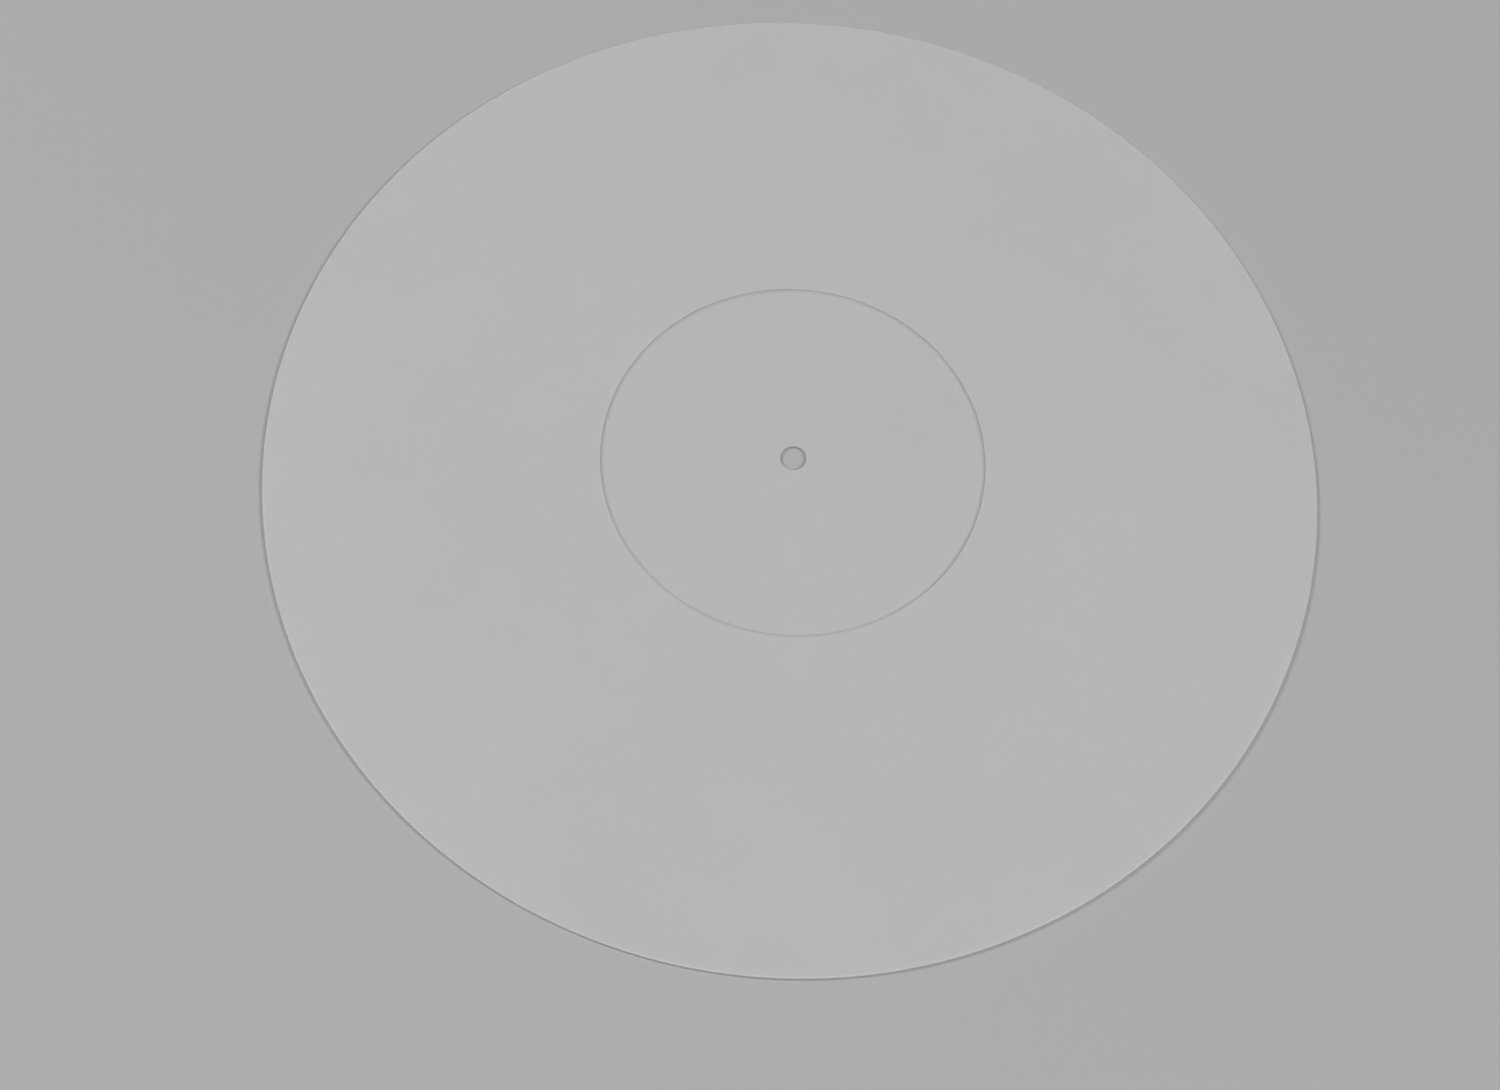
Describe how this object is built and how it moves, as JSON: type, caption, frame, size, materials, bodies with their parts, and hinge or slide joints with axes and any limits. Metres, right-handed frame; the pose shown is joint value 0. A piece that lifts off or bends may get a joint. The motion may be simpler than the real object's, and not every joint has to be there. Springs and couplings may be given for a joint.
{
  "type": "turntable mat",
  "caption": "Flat round mat of rigid white plastic that lies on a record player's platter, with a spindle hole and a shallow recess for a record's label.",
  "frame": {"origin": "middle of the underside, on the spindle hole's axis", "axes": "+Z along the spindle hole, out of the record face; X and Y lie in the underside, and their turn about Z is free because the mat is round"},
  "size_m": [0.295, 0.295, 0.0015],
  "materials": {
    "white_plastic": "satin"
  },
  "bodies": {
    "root": {"mat": "white_plastic"}
  },
  "joints": []
}
